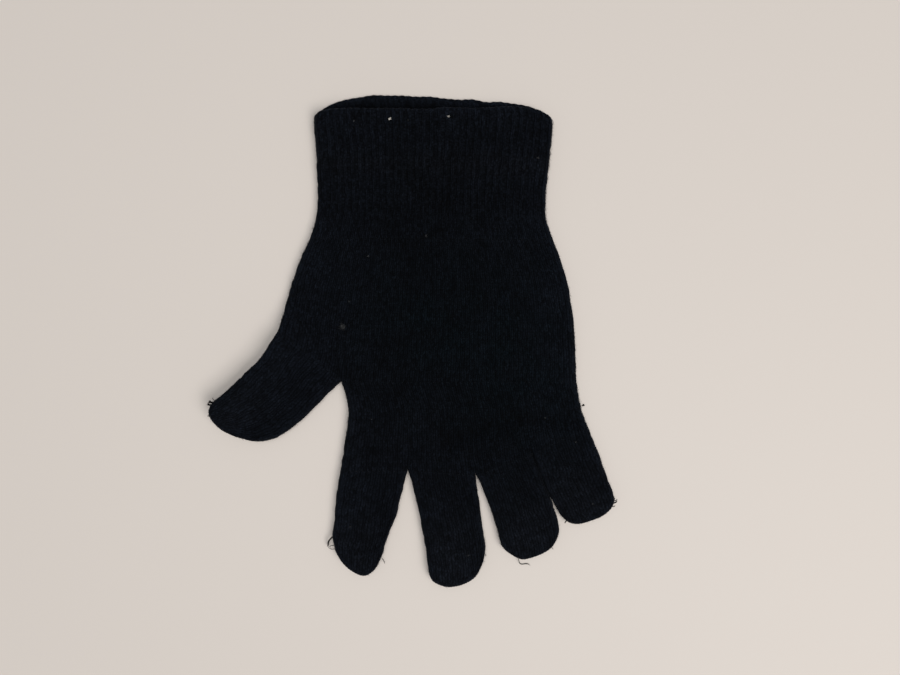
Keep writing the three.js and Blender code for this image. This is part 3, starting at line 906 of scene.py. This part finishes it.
def knit_material(name, unlike):
    """Black yarn: painted shade in the grooves between stitches, on the mouth's inner side, along the
    knuckles' crease and between ring and little, paler where it is rubbed, with a fuzzy surface.
    The tones of single stitches differ by up to the share called unlike."""
    material, tree, shader = new_material(name)
    shader.inputs["Sheen Weight"].default_value = 0.05
    shader.inputs["Sheen Roughness"].default_value = 0.4
    shader.inputs["Sheen Tint"].default_value = (0.55, 0.62, 0.75, 1)
    place = node(tree, "TexCoord").outputs["Object"]
    stitches = node(tree, "Attribute", attribute_name="stitch").outputs["Vector"]
    stitch = node(tree, "SeparateXYZ", {0: stitches})
    wear_tint_and_painted_shade_vector = node(tree, "Attribute", attribute_name="wear_tint_and_painted_shade").outputs["Vector"]
    wear_tint_and_painted_shade = node(tree, "SeparateXYZ", {0: wear_tint_and_painted_shade_vector})

    rubbed = remapped(tree, noise(tree, place, 260, detail=4), 0.35, 0.65, 0.5, 1)
    worn = math(tree, "MULTIPLY", wear_tint_and_painted_shade.outputs["X"], rubbed)
    base = mixed(tree, worn, YARN_COLOUR, RUBBED_COLOUR)
    patchy = remapped(tree, noise(tree, place, 90, detail=3), 0.35, 0.65, 0.3, 1)
    greenish = math(tree, "MULTIPLY", wear_tint_and_painted_shade.outputs["Y"], patchy)
    base = mixed(tree, greenish, base, GREENISH_TINT, "MULTIPLY")
    # Darker tone, with painted shade along the knuckles' crease and between ring and little
    darker = remapped(tree, wear_tint_and_painted_shade.outputs["Z"], 0, 2, 1, 0.1)

    patches = remapped(tree, noise(tree, place, 110, detail=3), 0.3, 0.7, 0.8, 1.25)
    flecks = noise(tree, place, 1900, detail=4, roughness=0.65)
    flecks = remapped(tree, flecks, 0.38, 0.68, 0.45, 2.1)
    # Painted shade: darker in the grooves between stitches and further in on the mouth's inner side, paler on
    # the crests
    groove = remapped(tree, stitch.outputs["Z"], 0.15, 1.0, 1.15, 0.4)
    legs = node(tree, "VectorMath", {0: stitches, 1: (2, 1, 0)}, operation="MULTIPLY").outputs["Vector"]
    leg = node(tree, "VectorMath", {0: legs}, operation="FLOOR").outputs["Vector"]
    leg_tone = node(tree, "TexWhiteNoise", {"Vector": leg}).outputs["Value"]
    leg_tone = remapped(tree, leg_tone, 0, 1, 1 - unlike, 1 + unlike)
    strength = darker
    for factor in (patches, flecks, groove, leg_tone):
        strength = math(tree, "MULTIPLY", strength, factor)
    tone = node(tree, "CombineColor", {0: strength, 1: strength, 2: strength}).outputs[0]
    base = mixed(tree, 1.0, base, tone, "MULTIPLY")
    tree.links.new(base, shader.inputs["Base Color"])

    twist = math(tree, "ADD", stitch.outputs["X"], stitch.outputs["Y"])
    twist = math(tree, "ADD", twist, math(tree, "MULTIPLY", noise(tree, place, 700), 0.6))
    ply = math(tree, "SINE", math(tree, "MULTIPLY", twist, 4 * np.pi))
    hairs = 0.0
    for heading in (0.5, -0.8, 2.1):
        turned = node(tree, "VectorRotate", {"Vector": place, "Angle": heading}, rotation_type="Z_AXIS")
        turned = turned.outputs["Vector"]
        drawn_out = node(tree, "VectorMath", {0: turned, 1: (1, 0.12, 1)}, operation="MULTIPLY")
        hairs = math(tree, "MAXIMUM", noise(tree, drawn_out.outputs["Vector"], 9000), hairs)
    height = math(tree, "ADD", math(tree, "MULTIPLY", ply, 0.18), math(tree, "MULTIPLY", hairs, 1.4))
    bump = node(tree, "Bump", {"Strength": 0.9, "Distance": 0.13 * MM, "Height": height})
    tree.links.new(bump.outputs["Normal"], shader.inputs["Normal"])
    tree.links.new(remapped(tree, hairs, 0.45, 0.75, 0.8, 1.0), shader.inputs["Roughness"])
    return material


def fibre_material(name, colour, spread):
    """Yarn fibre, with its tone changing from place to place."""
    material, tree, shader = new_material(name)
    place = node(tree, "TexCoord").outputs["Object"]
    tone = remapped(tree, noise(tree, place, 900), 0.3, 0.7, 1 - spread, 1 + spread)
    tone = node(tree, "CombineColor", {0: tone, 1: tone, 2: tone}).outputs[0]
    tree.links.new(mixed(tree, 1.0, (*colour, 1), tone, "MULTIPLY"), shader.inputs["Base Color"])
    bump = node(tree, "Bump", {"Strength": 0.4, "Distance": 0.05 * MM, "Height": noise(tree, place, 6000)})
    tree.links.new(bump.outputs["Normal"], shader.inputs["Normal"])
    return material


# ---- The glove ----

def finger(seed, name, root, wales, length, left_crotch, right_crotch, turned_start=0):
    return Tube(seed, root, curve(OUTLINES[name + "_tip"]), curve(OUTLINES[name + "_left"]),
                curve(OUTLINES[name + "_right"]), wales, length, closed=True, left_crotch=left_crotch,
                right_crotch=right_crotch, turned_start=turned_start)


ALL_WALES = THUMB_WALES + FOUR_WALES
wrist = joined([WRIST_LEFT, WRIST_RIGHT], [ALL_WALES])
palm_end = joined([THUMB_TOP, THUMB_CROTCH, HAND_RIGHT], [THUMB_WALES, FOUR_WALES])
roots = [INDEX_OUTER, INDEX_CROTCH, MIDDLE_CROTCH, LITTLE_CROTCH, LITTLE_OUTER]

TUBES = {
    "cuff": Tube(10, curve(OUTLINES["mouth"]), wrist, curve(OUTLINES["cuff_left"]),
                 curve(OUTLINES["cuff_right"]), ALL_WALES, length=52, mouth=True),
    "hand_five": Tube(20, wrist, palm_end, curve(OUTLINES["hand_left"]), curve(OUTLINES["hand_right"]),
                      ALL_WALES, length=55, crotches=[THUMB_CROTCH], turned_end=THUMB_WALES),
    "hand_four": Tube(30, joined([THUMB_CROTCH, HAND_RIGHT], [FOUR_WALES]), joined(roots, FINGER_WALES),
                      curve(OUTLINES["four_left"]), curve(OUTLINES["four_right"]), FOUR_WALES, length=33,
                      left_crotch=True, crotches=roots[1:4]),
    "thumb": finger(40, "thumb", joined([THUMB_TOP, THUMB_CROTCH], [THUMB_WALES]), THUMB_WALES, length=52,
                    left_crotch=False, right_crotch=True, turned_start=THUMB_WALES),
}

# Each finger's length, and whether its left and right sides start at a crotch
FINGERS = [("index", 42, False, True), ("middle", 46, True, True), ("ring", 42, True, True),
           ("little", 38, True, False)]
for number, (name, length, left_crotch, right_crotch) in enumerate(FINGERS):
    wales = FINGER_WALES[number]
    root = joined(roots[number:number + 2], [wales])
    TUBES[name + "_finger"] = finger(50 + number, name, root, wales, length, left_crotch, right_crotch)

SLOTS = {"cuff": "rib_knit", "hand_five": "jersey_knit", "hand_four": "jersey_knit"}

make_camera()
make_world()
make_floor()
make_light("key", (1.05, -0.78, 1.75), size=1.3, power=28.4, colour=(1.0, 0.97, 0.94))
make_light("fill", (-0.15, 0.1, 1.8), size=1.0, power=10, colour=(1.0, 0.98, 0.96))

MATERIALS = {
    "rib_knit": knit_material("rib_knit", 0.5),
    "jersey_knit": knit_material("jersey_knit", 0.45),
    "finger_knit": knit_material("finger_knit", 0.4),
}
black_fibre = fibre_material("black_fibre", (0.012, 0.0135, 0.0175), 0.8)
black_yarn = fibre_material("black_yarn", (0.006, 0.0055, 0.005), 0.4)
lint_fibre = fibre_material("lint_fibre", (0.60, 0.57, 0.52), 0.3)
grey_lint_fibre = fibre_material("grey_lint_fibre", (0.058, 0.06, 0.062), 0.5)

for name, tube in TUBES.items():
    slot = SLOTS.get(name, "finger_knit")
    piece = knit("knit_" + name, tube, MATERIALS[slot])
    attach(piece, "root")
    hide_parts(name)
    width = float(tube.width_at(0.5))
    hairs = fuzz("fuzz_" + name, tube, round(tube.length * width * FUZZ_DENSITY), black_fibre)
    loose = [hairs]
    if name in YARN_ENDS:
        ends = yarn_ends("yarn_" + name, YARN_ENDS[name], black_yarn)
        loose.append(ends)
    if name in PALE_LINT:
        loose.append(lint("pale_lint_" + name, tube, PALE_LINT[name], lint_fibre))
    if name in GREY_LINT:
        loose.append(lint("grey_lint_" + name, tube, GREY_LINT[name], grey_lint_fibre))
    for small in loose:
        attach(small, "root")

sizes = {"cad": cad_box, "made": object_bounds()}
{name: [list(corner) for corner in box] for name, box in sizes.items()}
